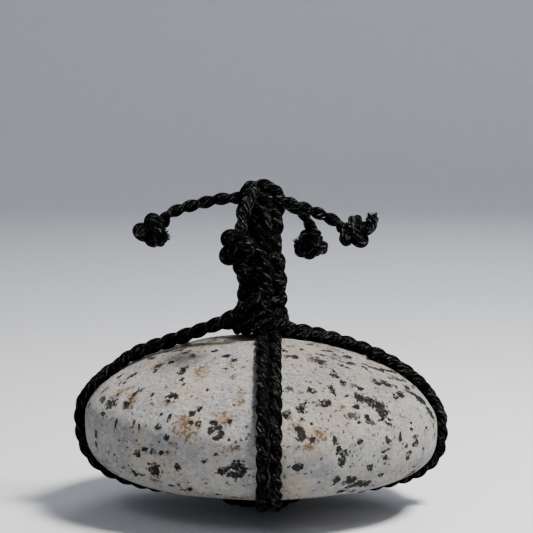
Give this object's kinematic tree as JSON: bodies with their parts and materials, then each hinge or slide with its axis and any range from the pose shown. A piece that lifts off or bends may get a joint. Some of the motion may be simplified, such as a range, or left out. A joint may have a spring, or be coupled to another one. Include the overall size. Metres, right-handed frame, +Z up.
{
  "type": "sekimori stone",
  "caption": "Oval river pebble tied crosswise with black cord and an upright cord handle, set on a garden path to mark it as closed.",
  "frame": {"origin": "on the ground, under the middle of the bounding box of the tied stone without its free tails", "axes": "+X along the stone, to the right as it is seen from the front; +Z up along the cord handle; the front faces -Y"},
  "size_m": [0.127, 0.1014, 0.1095],
  "materials": {
    "stone": "matte, water-worn",
    "cord": "satin, twisted from two plies"
  },
  "bodies": {
    "root": {"stone": "stone", "long_band_front": "cord", "long_band_back": "cord", "cross_band_left": "cord", "cross_band_right": "cord", "handle": "cord", "tail_left": "cord", "tail_front": "cord", "tail_right": "cord", "tail_back": "cord", "knot_left": "cord", "knot_front": "cord", "knot_right": "cord", "knot_back": "cord"}
  },
  "joints": []
}
